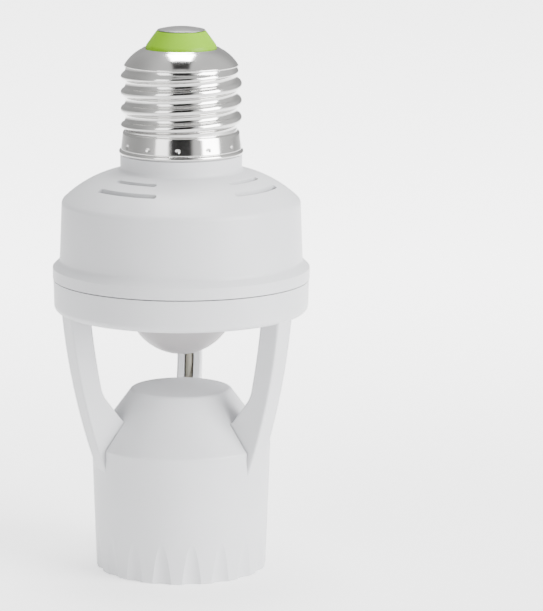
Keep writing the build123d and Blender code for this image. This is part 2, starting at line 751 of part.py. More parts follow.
def build_trimmer(angle):
    """Square trimmer body under the board, with a bore for the knob's stem."""
    with BuildPart() as trimmer:
        with BuildSketch(Plane(polar(knob_circle, angle, board_bottom))):
            Rectangle(trimmer_size, trimmer_size, rotation=angle)
            Circle(knob_stem_radius + running_gap, mode=Mode.SUBTRACT)
        extrude(amount=-trimmer_height)
    return trimmer


knobs = {name: build_knob(angle) for name, angle in knob_angles.items()}
trimmers = {name: build_trimmer(angle) for name, angle in knob_angles.items()}


# Sensor can on three legs, looking down through the lens
with BuildPart() as pir_sensor:
    can_top = board_bottom - sensor_standoff
    with BuildSketch(Plane.XY.offset(can_top)):
        Circle(sensor_flange_radius)
    extrude(amount=-sensor_flange_height)
    with BuildSketch(Plane.XY.offset(can_top - sensor_flange_height)):
        Circle(sensor_can_radius)
    extrude(amount=-sensor_can_height)
    fillet(edges().group_by(Axis.Z)[0], radius=sensor_edge_round)
    with BuildSketch(Plane.XY.offset(can_top - sensor_flange_height - sensor_can_height)):
        Rectangle(*sensor_window)
    extrude(amount=sensor_window_depth, mode=Mode.SUBTRACT)
    with BuildSketch(Plane.XY.offset(can_top)):
        with PolarLocations(sensor_leg_circle, 3):
            Circle(sensor_leg_radius)
    extrude(amount=sensor_standoff)

with BuildPart() as photocell:
    cell_top = board_bottom - photocell_standoff
    cell_middle = polar(photocell_offset, photocell_angle, cell_top)
    with BuildSketch(Plane(cell_middle)):
        Circle(photocell_radius)
    extrude(amount=-photocell_height)
    with BuildSketch(Plane(cell_middle)):
        with GridLocations(sensor_leg_circle, 0, 2, 1):
            Circle(sensor_leg_radius)
    extrude(amount=photocell_standoff)


def build_box_component(size, place):
    """Cast or moulded block standing on the board, with its upper edges rounded."""
    with BuildPart() as block:
        with BuildSketch(Plane((*place, board_top))):
            RectangleRounded(size[0], size[1], component_round)
        extrude(amount=size[2])
        fillet(faces().sort_by(Axis.Z)[-1].edges(), radius=component_round / 2)
    return block


relay = build_box_component(relay_size, relay_place)
dropper_capacitor = build_box_component(dropper_size, dropper_place)
bridge_rectifier = build_box_component(rectifier_size, rectifier_place)

with BuildPart() as filter_capacitor:
    with BuildSketch(Plane((*filter_place, board_top))):
        Circle(filter_radius)
    extrude(amount=filter_height)
    fillet(edges().group_by(Axis.Z)[-1], radius=component_round)
    with BuildSketch(Plane((*filter_place, board_top + filter_height))):
        Rectangle(filter_radius, filter_score_width)
        Rectangle(filter_score_width, filter_radius)
    extrude(amount=-filter_score_depth, mode=Mode.SUBTRACT)

with BuildPart() as sensor_chip:
    leg_count = int(chip_size[0] / chip_leg_pitch) + 1
    with BuildSketch(Plane((*chip_place, board_top + chip_lift))):
        Rectangle(chip_size[0], chip_size[1])
        with Locations((-chip_size[0] / 2, 0)):
            Circle(chip_notch_radius, mode=Mode.SUBTRACT)
    extrude(amount=chip_size[2])
    with BuildSketch(Plane((*chip_place, board_top))):
        with GridLocations(chip_leg_pitch, chip_size[1] + chip_leg_size[1], leg_count, 2):
            Rectangle(*chip_leg_size)
    extrude(amount=chip_lift + chip_size[2] / 2)

with BuildPart() as fuse_resistor:
    axis_height = board_top + resistor_rise
    start = Plane((resistor_place[0] - resistor_length / 2, resistor_place[1], axis_height), z_dir=(1, 0, 0))
    with BuildSketch(start):
        Circle(resistor_radius)
    extrude(amount=resistor_length)
    fillet(edges().filter_by(GeomType.CIRCLE), radius=resistor_edge_round)
    leg_xs = (resistor_place[0] - resistor_leg_reach, resistor_place[0] + resistor_leg_reach)
    with BuildLine() as leg_line:
        FilletPolyline((leg_xs[0], resistor_place[1], board_top), (leg_xs[0], resistor_place[1], axis_height),
                       (leg_xs[1], resistor_place[1], axis_height), (leg_xs[1], resistor_place[1], board_top),
                       radius=resistor_leg_bend)
    with BuildSketch(Plane(leg_line.line @ 0, z_dir=leg_line.line % 0)):
        Circle(resistor_leg_radius)
    sweep(path=leg_line.line)


# Lamp socket: liner, screw shell, centre contact and their fasteners
screw_shell_bore = thread_root_radius + thread_play
with BuildPart() as socket_liner:
    liner_radius = sleeve_bore_radius - liner_gap
    liner_bore_radius = screw_shell_outer_radius + fit_gap
    with BuildSketch(Plane.XZ):
        with BuildLine():
            Polyline((0, socket_base_bottom), (liner_bore_radius, socket_base_bottom),
                     (liner_bore_radius, liner_mouth_height), (liner_radius, liner_mouth_height),
                     (liner_radius, socket_base_top), (0, socket_base_top), close=True)
        make_face()
        fillet(vertices().sort_by_distance((liner_radius, liner_mouth_height))[0], radius=liner_edge_round)
    revolve(axis=Axis.Z)
    with BuildSketch(Plane.XY.offset(socket_base_bottom)):
        with PolarLocations(socket_screw_circle, 2, start_angle=socket_screw_angle):
            Circle(socket_screw_radius + screw_hole_gap)
        with PolarLocations(shell_rivet_circle, 2, start_angle=shell_rivet_angle):
            Circle(rivet_radius + fit_gap)
        with Locations(polar(contact_rivet_circle, contact_strip_angle, 0)[:2]):
            Circle(rivet_radius + fit_gap)
    extrude(amount=liner_base, mode=Mode.SUBTRACT)

# The lamp's thread groove starts in open space below the shell's mouth, in phase with the cap's thread
turns_down = ceil((cap_thread_start - screw_shell_mouth_height) / thread_pitch)
groove_start = cap_thread_start - turns_down * thread_pitch
groove_end = screw_shell_top - screw_shell_flange - thread_foot_width / 2 - groove_end_gap
socket_groove = build_ridge(screw_shell_bore, thread_crest_radius + thread_play, groove_start, groove_end)
with BuildPart() as screw_shell:
    with BuildSketch(Plane.XZ):
        with BuildLine():
            Polyline((screw_shell_bore, screw_shell_mouth_height),
                     (screw_shell_outer_radius, screw_shell_mouth_height),
                     (screw_shell_outer_radius, screw_shell_top),
                     (screw_shell_flange_radius, screw_shell_top),
                     (screw_shell_flange_radius, screw_shell_top - screw_shell_flange),
                     (screw_shell_bore, screw_shell_top - screw_shell_flange), close=True)
        make_face()
    revolve(axis=Axis.Z)
    add(socket_groove.part, mode=Mode.SUBTRACT)
    with BuildSketch(Plane.XY.offset(screw_shell_top)):
        with PolarLocations(shell_rivet_circle, 2, start_angle=shell_rivet_angle):
            Circle(rivet_radius + fit_gap)
    extrude(amount=-screw_shell_flange, mode=Mode.SUBTRACT)

with BuildPart() as centre_contact:
    tip_height = socket_base_bottom - contact_strip_tip_drop
    strip_underside = socket_base_bottom - contact_strip_thickness
    bend_start, bend_radius = contact_strip_bend
    end_reach, end_rise = contact_strip_end
    with BuildSketch(radial_plane(contact_strip_angle)):
        with BuildLine() as strip_line:
            FilletPolyline((contact_rivet_circle + contact_strip_foot, strip_underside),
                           (bend_start, strip_underside), (contact_strip_width / 2, tip_height),
                           (-contact_strip_width / 2, tip_height),
                           (-end_reach, tip_height + end_rise), radius=bend_radius)
            offset(strip_line.line, amount=contact_strip_thickness, side=Side.RIGHT)
        make_face()
    extrude(amount=contact_strip_width / 2, both=True)
    with BuildSketch(Plane(polar(contact_rivet_circle, contact_strip_angle, socket_base_bottom))):
        Circle(rivet_radius + fit_gap)
    extrude(amount=-2 * contact_strip_thickness, mode=Mode.SUBTRACT)


def build_rivet(head_top, grip):
    """Rivet whose round head faces down at height head_top, with a closed tail above its grip."""
    with BuildPart() as rivet:
        with BuildSketch(Plane.XY.offset(head_top)):
            Circle(rivet_radius)
        extrude(amount=grip + rivet_head_height)
        with BuildSketch(Plane.XY.offset(head_top)):
            Circle(rivet_head_radius)
        extrude(amount=-rivet_head_height)
        fillet(edges().group_by(Axis.Z)[0], radius=rivet_head_round)
        with BuildSketch(Plane.XY.offset(head_top + grip)):
            Circle(rivet_head_radius)
        extrude(amount=rivet_head_height)
    return rivet


shell_rivet = build_rivet(screw_shell_top - screw_shell_flange, liner_base + screw_shell_flange)
with BuildPart() as shell_rivets:
    with PolarLocations(shell_rivet_circle, 2, start_angle=shell_rivet_angle):
        add(shell_rivet.part)

strip_rivet = build_rivet(socket_base_bottom - contact_strip_thickness, liner_base + contact_strip_thickness)
with BuildPart() as contact_rivet:
    with PolarLocations(contact_rivet_circle, 1, start_angle=contact_strip_angle):
        add(strip_rivet.part)

socket_screw = build_screw(socket_screw_radius, liner_base + socket_screw_grip, socket_screw_head_radius,
                           socket_screw_head_height)
with BuildPart() as socket_screws:
    with Locations(Plane.XY.offset(socket_base_bottom)):
        with PolarLocations(socket_screw_circle, 2, start_angle=socket_screw_angle):
            add(socket_screw.part)


# Leads, each along straight runs and tangent arcs
arm_face_radius = arm_top_radius - arm_depth
rivet_tail_top = socket_base_top + rivet_head_height


def socket_lead_points(angle, end_radius):
    """Route of a lead from the board down an arm's channel and in under its nose to a rivet's tail."""
    board_radius_out = board_radius - socket_lead_board_inset
    lying_height = rivet_tail_top + lead_radius
    route = [(board_radius_out, board_bottom), (board_radius_out, board_bottom - socket_lead_drop)]
    route += [(arm_face_radius + lead_inset + inwards, ring_bottom + rise)
              for inwards, rise in (socket_lead_ring, socket_lead_arm)]
    route += [(knee[0] + lead_inset + socket_lead_knee[0], knee[1] + socket_lead_knee[1])]
    route += [(nose[0] + outwards, nose_height + rise) for outwards, rise in socket_lead_foot]
    route += [(socket_lead_turn_radius, lying_height), (end_radius, lying_height)]
    return [polar(radius, angle, height) for radius, height in route]


def cap_lead_points(way):
    """Route of a cap's lead along its way points, then straight down to the board."""
    return [(x, y, neck_top + rise) for x, y, rise in way] + [(*way[-1][:2], board_top)]


socket_neutral_lead = build_lead(
    "socket_neutral_lead", socket_lead_points(arm_first_angle, neutral_lead_end_radius))
socket_live_lead = build_lead(
    "socket_live_lead", socket_lead_points(contact_strip_angle, contact_rivet_circle))
cap_live_lead = build_lead("cap_live_lead", [
    (0, 0, insulator_top - contact_stem_length), *cap_lead_points(cap_live_lead_way)])
cap_neutral_lead = build_lead("cap_neutral_lead", cap_lead_points(cap_neutral_lead_way))

pieces = {
    "lower_frame": lower_frame, "upper_housing": upper_housing, "cap_shell": cap_shell,
    "cap_insulator": cap_insulator, "cap_contact": cap_contact, "pir_lens": pir_lens,
    "circuit_board": circuit_board, "housing_screws": housing_screws, "board_screws": board_screws,
    "time_knob": knobs["time"], "lux_knob": knobs["lux"], "time_trimmer": trimmers["time"],
    "lux_trimmer": trimmers["lux"], "pir_sensor": pir_sensor, "photocell": photocell, "relay": relay,
    "dropper_capacitor": dropper_capacitor, "bridge_rectifier": bridge_rectifier,
    "filter_capacitor": filter_capacitor, "sensor_chip": sensor_chip, "fuse_resistor": fuse_resistor,
    "socket_liner": socket_liner, "screw_shell": screw_shell, "centre_contact": centre_contact,
    "shell_rivets": shell_rivets, "contact_rivet": contact_rivet, "socket_screws": socket_screws,
    "socket_neutral_lead": socket_neutral_lead, "socket_live_lead": socket_live_lead,
    "cap_live_lead": cap_live_lead, "cap_neutral_lead": cap_neutral_lead,
}
for node, piece in pieces.items():
    piece.part.label = node
    export_step(piece.part, f"parts/{node}.step")
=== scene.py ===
"""Motion sensor lamp holder, dressed for a studio picture.

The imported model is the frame: its moulded casings, leads, board and fasteners stay and get procedural
finishes. The screw cap with its rolled thread, the dome lens, the insulator, the end contact and the
lamp's screw shell are worked out here as surfaces. The scene is in metres in the model's own frame. The
sizes of these pieces are in millimetres, with heights over the rim of the lamp's sleeve.
"""

from functools import partial
from math import pi, radians, tan

import bpy
import numpy as np
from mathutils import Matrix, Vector


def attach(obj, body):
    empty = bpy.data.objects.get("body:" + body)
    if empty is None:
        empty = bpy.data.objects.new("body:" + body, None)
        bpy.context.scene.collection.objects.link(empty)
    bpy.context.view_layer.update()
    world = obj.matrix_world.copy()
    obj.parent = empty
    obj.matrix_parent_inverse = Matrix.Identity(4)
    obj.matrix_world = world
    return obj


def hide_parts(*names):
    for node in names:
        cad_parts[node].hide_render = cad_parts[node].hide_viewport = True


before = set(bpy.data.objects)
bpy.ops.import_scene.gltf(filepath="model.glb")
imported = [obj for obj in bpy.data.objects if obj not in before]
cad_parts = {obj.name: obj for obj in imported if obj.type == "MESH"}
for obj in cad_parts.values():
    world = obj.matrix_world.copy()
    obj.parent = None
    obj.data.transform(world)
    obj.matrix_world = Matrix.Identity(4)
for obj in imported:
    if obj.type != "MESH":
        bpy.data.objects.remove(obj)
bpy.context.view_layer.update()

MM = 0.001

# Screw cap, with the first dimple's angle in degrees. Each dimple's middle lies on a column of the mesh.
SHEET = 0.35
NECK_TOP = 91.0
LIP_RADIUS, LIP_HEIGHT = 13.42, 1.2
COLLAR_RADIUS, COLLAR_TOP, COLLAR_FLARE, COLLAR_WALL = 12.82, 95.9, 0.2, 0.4
THREAD_PITCH, THREAD_ROOT, THREAD_CREST, THREAD_PHASE = 3.629, 12.03, 13.05, 98.9
SHOULDER_BASE, SHOULDER_CURVE, SHOULDER_CENTRE, SHOULDER_LEDGE = 110.3, 9.32, (4.34, 105.36), 0.38
BRIM_RADIUS, BRIM_TOP, BRIM_ROUND = 8.3, 113.85, 0.2
OPENING_TOP, OPENING_BORE = 113.5, 7.0
DIMPLE_COUNT, DIMPLE_FIRST, DIMPLE_HEIGHT = 12, -280 / 3, 93.2
DIMPLE_RADIUS, DIMPLE_DEPTH, COLUMNS_PER_DIMPLE = 0.55, 0.2, 27

# Insulator: its plug goes down into the cap and has a bore for the contact's stem and a hollow under it
INSULATOR_TOP, INSULATOR_TOP_RADIUS, INSULATOR_BASE_RADIUS = 117.55, 5.35, 7.65
SKIRT_TOP, SKIRT_ROUND, SKIRT_FOOT_ROUND, TOP_EDGE_ROUND = 114.35, 1.5, 0.3, 0.15
PLUG_RADIUS, PLUG_DEPTH, STEM_BORE = 6.95, 3.0, 1.3
HOLLOW_RADIUS, HOLLOW_TOP_RADIUS, HOLLOW_CHAMFER = 5.5, 2.6, 0.1

# End contact
CONTACT_RADIUS, CONTACT_RISE, CONTACT_EDGE = 5.15, 0.95, 0.3
STEM_RADIUS, STEM_LENGTH = 1.25, 4.6
CONTACT_RIM = ((-0.3, 0.09), (-0.04, 0.11), (0.0, 0.16), (-0.02, 0.24))    # from the radius and the seat

# Dome lens, down to LENS_POLE degrees below its foot. Its cells are pressed in rings CELL_RING degrees high
# with CELLS_ROUND in each, and fade between two angles at the foot and at the pole.
LENS_RADIUS, LENS_WALL, LENS_CENTRE, LENS_POLE = 11.8, 0.6, 59.0, -89.97
RING_FLOOR_TOP, LENS_FLANGE_RADIUS, LENS_FLANGE_HEIGHT, LENS_SEAT = 59.2, 13.4, 1.0, 0.02
CELL_RING, CELLS_ROUND, CELL_HEIGHT = 15, 18, 0.12
CELL_FOOT_FADE, CELL_POLE_FADE = (0, 6), (74, 84)

# Lamp's screw shell
SHELL_MOUTH, SHELL_TOP, SHELL_MOUTH_FLARE = 5.5, 25.2, 0.7
SHELL_FLANGE_RADIUS, THREAD_PLAY = 9.3, 0.2


def full_turn(columns):
    """Angles of evenly spaced columns round the axis."""
    return np.linspace(0, 2 * pi, columns, endpoint=False)


def closed_piece(name, points):
    """Piece on a closed grid of points of shape (rows, columns, 3), in millimetres.

    Every point is joined to the next in its row and in its column, and the last to the first. Quads run
    round first and then up, so the faces point to the right of the profile's way of going.
    """
    index = np.arange(points.shape[0] * points.shape[1]).reshape(points.shape[:2])
    beside, above = np.roll(index, -1, axis=1), np.roll(index, -1, axis=0)
    quads = np.stack([index, beside, np.roll(beside, -1, axis=0), above], axis=-1).reshape(-1, 4)
    mesh = bpy.data.meshes.new(name)
    mesh.from_pydata((points.reshape(-1, 3) * MM).tolist(), [], quads.tolist())
    mesh.polygons.foreach_set("use_smooth", np.ones(len(quads), dtype=bool))
    mesh.update()
    piece = bpy.data.objects.new(name, mesh)
    bpy.context.scene.collection.objects.link(piece)
    return piece


def around_axis(radius, height, angles):
    """Points x = r cos a, y = r sin a, z of rows of radii r and heights z at the angles a."""
    return np.stack([radius * np.cos(angles), radius * np.sin(angles), height + 0 * angles], axis=-1)


def turned(profile, angles):
    """Surface of revolution of a profile of points (r, z)."""
    return around_axis(profile[:, 0, None], profile[:, 1, None], angles)


def arc(centre, radius, start, end, count):
    """Points (r, z) on a circle round centre, from the angle start to end in degrees."""
    t = np.radians(np.linspace(start, end, count))
    return np.stack([centre[0] + radius * np.cos(t), centre[1] + radius * np.sin(t)], axis=-1)


def run(start, end, count):
    """Points (r, z) spaced evenly on the straight line from start to end."""
    t = np.linspace(0, 1, count)[:, None]
    return np.array(start) * (1 - t) + np.array(end) * t


def smooth_step(low, high, value):
    """0 below low, 1 above high and 3t^2 - 2t^3 between them."""
    t = np.clip((value - low) / (high - low), 0, 1)
    return t * t * (3 - 2 * t)


def rolled_thread(height, angle, root, crest):
    """Radius of a rolled round thread at a height and an angle.

    The distance u from the nearest crest is the height less the helix's height, brought within half a
    pitch of 0. Crest and root are arcs of one radius p that meet a quarter pitch from the crest:
    r = crest - p + sqrt(p^2 - u^2) near the crest, and root + p - sqrt(p^2 - v^2) with v = pitch/2 - |u|.
    """
    quarter, half_depth = THREAD_PITCH / 4, (crest - root) / 2
    bend = (quarter ** 2 + half_depth ** 2) / (2 * half_depth)
    turn = (height - THREAD_PHASE - THREAD_PITCH * angle / (2 * pi)) / THREAD_PITCH
    u = np.abs(turn - np.round(turn)) * THREAD_PITCH
    v = THREAD_PITCH / 2 - u
    near_crest = crest - bend + np.sqrt(np.maximum(bend ** 2 - u ** 2, 0))
    near_root = root + bend - np.sqrt(np.maximum(bend ** 2 - v ** 2, 0))
    return np.where(u < quarter, near_crest, near_root)


def cap_profile():
    """Outside of the screw cap as points (r, z): lip, collar, thread's root, shoulder, brim and rim."""
    lip_centre = (LIP_RADIUS - LIP_HEIGHT / 2, NECK_TOP + LIP_HEIGHT / 2)
    collar_foot = (COLLAR_RADIUS + COLLAR_FLARE, NECK_TOP + LIP_HEIGHT + 0.05)
    collar_head = (COLLAR_RADIUS - COLLAR_FLARE, COLLAR_TOP - 0.35)
    step_edge = (COLLAR_RADIUS - COLLAR_FLARE - 0.06, COLLAR_TOP - 0.1)
    step_foot = (THREAD_ROOT, COLLAR_TOP + 0.55)
    thread_foot, thread_head = (THREAD_ROOT, COLLAR_TOP + 0.75), (THREAD_ROOT, SHOULDER_BASE - 0.2)
    brim_centre = (BRIM_RADIUS - 0.05, BRIM_TOP - BRIM_ROUND)
    rim_outside, rim_inside = (8.02, OPENING_TOP + 0.1), (7.8, OPENING_TOP)
    return np.concatenate([
        arc(lip_centre, LIP_HEIGHT / 2, start=-90, end=78, count=14),
        run(collar_foot, collar_head, count=22),
        run(step_edge, step_foot, count=6),
        run(thread_foot, thread_head, count=150),
        arc(SHOULDER_CENTRE, SHOULDER_CURVE, start=31, end=64, count=22),
        arc(brim_centre, BRIM_ROUND, start=70, end=170, count=8),
        run(rim_outside, rim_inside, count=3)])


def make_cap_shell():
    """Screw cap of one drawn sheet: rolled lip, punched collar, rolled thread and domed shoulder.

    The outside is a profile turned round the axis, whose radius is the rolled thread's where it fades in
    over the collar and out under the shoulder. Each punched dimple takes depth * (1 - d^2)^2 off the
    radius, d being the distance over its radius. The inside is every fourth row, moved in by the sheet.
    """
    angles = full_turn(COLUMNS_PER_DIMPLE * DIMPLE_COUNT)
    profile = cap_profile()
    radius, height = profile[:, 0, None] + 0 * angles, profile[:, 1, None] + 0 * angles

    thread_start, thread_full = COLLAR_TOP + 0.1, COLLAR_TOP + 1.5
    fade_out = smooth_step(SHOULDER_BASE - 2.6, SHOULDER_BASE - 0.3, height)
    fade = smooth_step(thread_start, thread_full, height) * (1 - fade_out)
    plain = np.minimum(radius, THREAD_ROOT + SHOULDER_LEDGE * fade_out)
    threaded = rolled_thread(height, angles, THREAD_ROOT, THREAD_CREST)
    in_thread = (height > thread_start) & (height < SHOULDER_BASE)
    radius = np.where(in_thread, plain * (1 - fade) + threaded * fade, radius)

    for number in range(DIMPLE_COUNT):
        middle = radians(DIMPLE_FIRST + number * 360 / DIMPLE_COUNT)
        across = COLLAR_RADIUS * ((angles - middle + pi) % (2 * pi) - pi)
        distance = np.hypot(across, height - DIMPLE_HEIGHT) / DIMPLE_RADIUS
        radius = radius - DIMPLE_DEPTH * np.clip(1 - distance ** 2, 0, None) ** 2

    outer = around_axis(radius, height, angles)
    inside_radius, inside_height = radius[::-4] - SHEET, height[::-4]
    inside_radius = np.where(inside_height < COLLAR_TOP, COLLAR_RADIUS - COLLAR_WALL, inside_radius)
    inner = around_axis(inside_radius, np.minimum(inside_height, OPENING_TOP - SHEET), angles)
    opening = np.array([[OPENING_BORE, OPENING_TOP], [OPENING_BORE, OPENING_TOP - SHEET]])
    return closed_piece("rolled_screw_cap", np.concatenate([outer, turned(opening, angles), inner]))


def make_insulator():
    """Cast insulator: a short upright skirt bent over to a sloping flank, and a plug below the cap's rim.

    The flank's angle is atan((base radius - top radius) / (top - skirt top)). The bend is an arc of the
    skirt's rounding that starts rounding * tan(angle / 2) below the skirt's top. The profile is turned.
    """
    flank = np.arctan2(INSULATOR_BASE_RADIUS - INSULATOR_TOP_RADIUS, INSULATOR_TOP - SKIRT_TOP)
    flank_degrees = np.degrees(flank)
    foot_centre = (INSULATOR_BASE_RADIUS - SKIRT_FOOT_ROUND, OPENING_TOP + SKIRT_FOOT_ROUND + 0.01)
    bend_centre = (INSULATOR_BASE_RADIUS - SKIRT_ROUND, SKIRT_TOP - SKIRT_ROUND * tan(flank / 2))
    edge_centre = (INSULATOR_TOP_RADIUS - 0.1, INSULATOR_TOP - TOP_EDGE_ROUND)
    foot = arc(foot_centre, SKIRT_FOOT_ROUND, start=-90, end=0, count=6)
    bend = arc(bend_centre, SKIRT_ROUND, start=0, end=flank_degrees, count=8)
    edge = arc(edge_centre, TOP_EDGE_ROUND, start=flank_degrees, end=90, count=6)

    plug_foot, seat = OPENING_TOP - PLUG_DEPTH, OPENING_TOP + 0.01
    hollow_foot = (HOLLOW_RADIUS - HOLLOW_CHAMFER, plug_foot + HOLLOW_CHAMFER)
    hollow_edge = (HOLLOW_TOP_RADIUS, OPENING_TOP - HOLLOW_CHAMFER)
    profile = np.concatenate([
        run((HOLLOW_RADIUS, plug_foot), (PLUG_RADIUS - 0.02, plug_foot), count=3),
        run((PLUG_RADIUS, plug_foot + 0.1), (PLUG_RADIUS, OPENING_TOP), count=4),
        run((OPENING_BORE, seat), (foot_centre[0] - 0.05, seat), count=3),
        foot, bend, run(bend[-1], edge[0], count=10)[1:-1], edge,
        run((INSULATOR_TOP_RADIUS - 0.2, INSULATOR_TOP), (STEM_BORE, INSULATOR_TOP), count=5),
        run((STEM_BORE, OPENING_TOP), (HOLLOW_TOP_RADIUS - 0.15, OPENING_TOP), count=3),
        run(hollow_edge, hollow_foot, count=5)])
    return closed_piece("cast_insulator", turned(profile, full_turn(128)))


def make_end_contact():
    """Pressed end contact: a shallow dome with a rounded rim, on a short stem that closes at its foot.

    The dome's height over its edge is (rise - edge) * (1 - q^2) at the share q of its radius, turned
    round the axis.
    """
    share = np.linspace(1, 0.004, 18)
    dome_height = INSULATOR_TOP + CONTACT_EDGE + (CONTACT_RISE - CONTACT_EDGE) * (1 - share ** 2)
    stem_foot = INSULATOR_TOP - STEM_LENGTH
    profile = np.concatenate([
        run((0.01, stem_foot), (STEM_RADIUS, stem_foot), count=3),
        run((STEM_RADIUS, stem_foot + 0.1), (STEM_RADIUS, INSULATOR_TOP), count=4),
        run((STEM_RADIUS + 0.15, INSULATOR_TOP), (CONTACT_RADIUS - 0.35, INSULATOR_TOP), count=4),
        np.array([CONTACT_RADIUS, INSULATOR_TOP]) + np.array(CONTACT_RIM),
        np.stack([(CONTACT_RADIUS - 0.12) * share, dome_height], axis=-1)])
    return closed_piece("pressed_end_contact", turned(profile, full_turn(128)))


def make_dome_lens():
    """Dome lens: a smooth half sphere outside, and rings of lens cells pressed into its inside.

    On the inside, the radius is the wall's plus the cell height times half of s^2 + t^2, where s and t
    run from -1 to 1 across a cell, up the dome and round it, so that each cell bulges and the cells meet
    in fine valleys. The cells fade out at the foot and at the pole.
    """
    angles = full_turn(288)
    seat, flange_top = RING_FLOOR_TOP + LENS_SEAT, RING_FLOOR_TOP + LENS_FLANGE_HEIGHT
    outside = np.concatenate([
        arc((0, LENS_CENTRE), LENS_RADIUS, start=LENS_POLE, end=0, count=60),
        run((LENS_RADIUS, LENS_CENTRE + 0.1), (LENS_RADIUS, RING_FLOOR_TOP + 0.01), count=2),
        run((LENS_RADIUS + 0.1, seat), (LENS_FLANGE_RADIUS, seat), count=3),
        run((LENS_FLANGE_RADIUS, RING_FLOOR_TOP + 0.3), (LENS_FLANGE_RADIUS, flange_top), count=2),
        run((LENS_FLANGE_RADIUS - 0.3, flange_top), (LENS_RADIUS - LENS_WALL, flange_top), count=3)])

    below = -np.linspace(0, LENS_POLE, 120)[:, None]
    ring_place = below / CELL_RING % 1 * 2 - 1
    cell_place = angles[None, :] / (2 * pi) * CELLS_ROUND % 1 * 2 - 1
    strength = smooth_step(*CELL_FOOT_FADE, below) * (1 - smooth_step(*CELL_POLE_FADE, below))
    cells = CELL_HEIGHT * strength * (ring_place ** 2 + cell_place ** 2) / 2
    wall_radius, tilt = LENS_RADIUS - LENS_WALL + cells, np.radians(-below)
    inside = around_axis(wall_radius * np.cos(tilt), LENS_CENTRE + wall_radius * np.sin(tilt), angles)
    return closed_piece("faceted_dome_lens", np.concatenate([turned(outside, angles), inside]))


def make_lamp_shell():
    """Lamp's screw shell: a thin sheet rolled with the same round thread, and a flange at its top.

    The wall's inside follows the rolled thread, a little wider than the cap's, and opens at the mouth. Its
    outside is moved out by the sheet, so the thread shows on both sides.
    """
    angles = full_turn(200)
    root, crest = THREAD_ROOT + THREAD_PLAY, THREAD_CREST + THREAD_PLAY
    heights = np.linspace(SHELL_MOUTH + 0.3, SHELL_TOP - 0.6, 84)[:, None] + 0 * angles
    opened = 1 - smooth_step(SHELL_MOUTH + 0.2, SHELL_MOUTH + 1.8, heights)
    fade_in = smooth_step(SHELL_MOUTH + 0.2, SHELL_MOUTH + 1.6, heights)
    fade = fade_in * (1 - smooth_step(SHELL_TOP - 2.6, SHELL_TOP - 1.0, heights))
    plain = root + SHELL_MOUTH_FLARE * opened
    inner_radius = plain * (1 - fade) + rolled_thread(heights, angles, root, crest) * fade
    inner = around_axis(inner_radius, heights, angles)
    outer = around_axis(inner_radius + SHEET, heights, angles)

    mouth_centre = (root + SHELL_MOUTH_FLARE + SHEET / 2, SHELL_MOUTH + 0.25)
    mouth = arc(mouth_centre, 0.22, start=10, end=-190, count=7)
    under, top = SHELL_TOP - 0.45, SHELL_TOP - 0.01
    flange = np.array([
        [root - 0.2, under], [SHELL_FLANGE_RADIUS + 0.1, under],
        [SHELL_FLANGE_RADIUS, under + 0.05], [SHELL_FLANGE_RADIUS, top - 0.05],
        [SHELL_FLANGE_RADIUS + 0.1, top], [root + 0.1, top], [root + SHEET, SHELL_TOP - 0.15]])
    rows = np.concatenate([inner, turned(flange, angles), outer[::-1], turned(mouth, angles)])
    return closed_piece("rolled_lamp_shell", rows[::-1])


def math_node(nodes, link, operation, *values):
    """Math node whose inputs are sockets or plain numbers; gives its output socket."""
    node = nodes.new("ShaderNodeMath")
    node.operation = operation
    for place, value in enumerate(values):
        if isinstance(value, (int, float)):
            node.inputs[place].default_value = value
        else:
            link(value, node.inputs[place])
    return node.outputs[0]


def noise_node(nodes, link, vector, scale, detail=2.0, roughness=0.5):
    """Noise of the given scale, a number or a socket, on a vector; gives its Fac socket."""
    node = nodes.new("ShaderNodeTexNoise")
    node.inputs["Detail"].default_value = detail
    node.inputs["Roughness"].default_value = roughness
    if isinstance(scale, (int, float)):
        node.inputs["Scale"].default_value = scale
    else:
        link(scale, node.inputs["Scale"])
    link(vector, node.inputs["Vector"])
    return node.outputs["Fac"]


def fade_node(nodes, link, value, start, full):
    """Smooth fade of a value, 0 at start and 1 at full, whichever of the two is larger."""
    node = nodes.new("ShaderNodeMapRange")
    node.interpolation_type = "SMOOTHSTEP"
    node.inputs["From Min"].default_value, node.inputs["From Max"].default_value = start, full
    link(value, node.inputs["Value"])
    return node.outputs["Result"]


def split_node(nodes, link, vector):
    """The X, Y and Z sockets of a vector."""
    split = nodes.new("ShaderNodeSeparateXYZ")
    link(vector, split.inputs[0])
    return split.outputs


def new_group(name, inputs, outputs):
    """Empty shader node group with a Vector input, float inputs with their defaults, and float outputs."""
    group = bpy.data.node_groups.new(name, "ShaderNodeTree")
    group.interface.new_socket("Vector", in_out="INPUT", socket_type="NodeSocketVector")
    for socket_name, default in inputs.items():
        socket = group.interface.new_socket(socket_name, in_out="INPUT", socket_type="NodeSocketFloat")
        socket.default_value = default
    for socket_name in outputs:
        group.interface.new_socket(socket_name, in_out="OUTPUT", socket_type="NodeSocketFloat")
    nodes = group.nodes
    return group, nodes, group.links.new, nodes.new("NodeGroupInput"), nodes.new("NodeGroupOutput")


def make_moulding_skin():
    """Skin of moulded plastic: fine spark-eroded grain, and broad clouds where the melt flowed."""
    group, nodes, link, source, sink = new_group(
        "Moulding skin", {"Grain Scale": 4000.0, "Cloud Scale": 60.0}, ("Grain", "Clouds"))
    vector, grain_scale, cloud_scale = source.outputs[:3]
    link(noise_node(nodes, link, vector, grain_scale, detail=3.0, roughness=0.6), sink.inputs["Grain"])
    link(noise_node(nodes, link, vector, cloud_scale, detail=3.0), sink.inputs["Clouds"])
    return group


RINGS_PER_METRE, RING_WANDER = 9000.0, 1.2


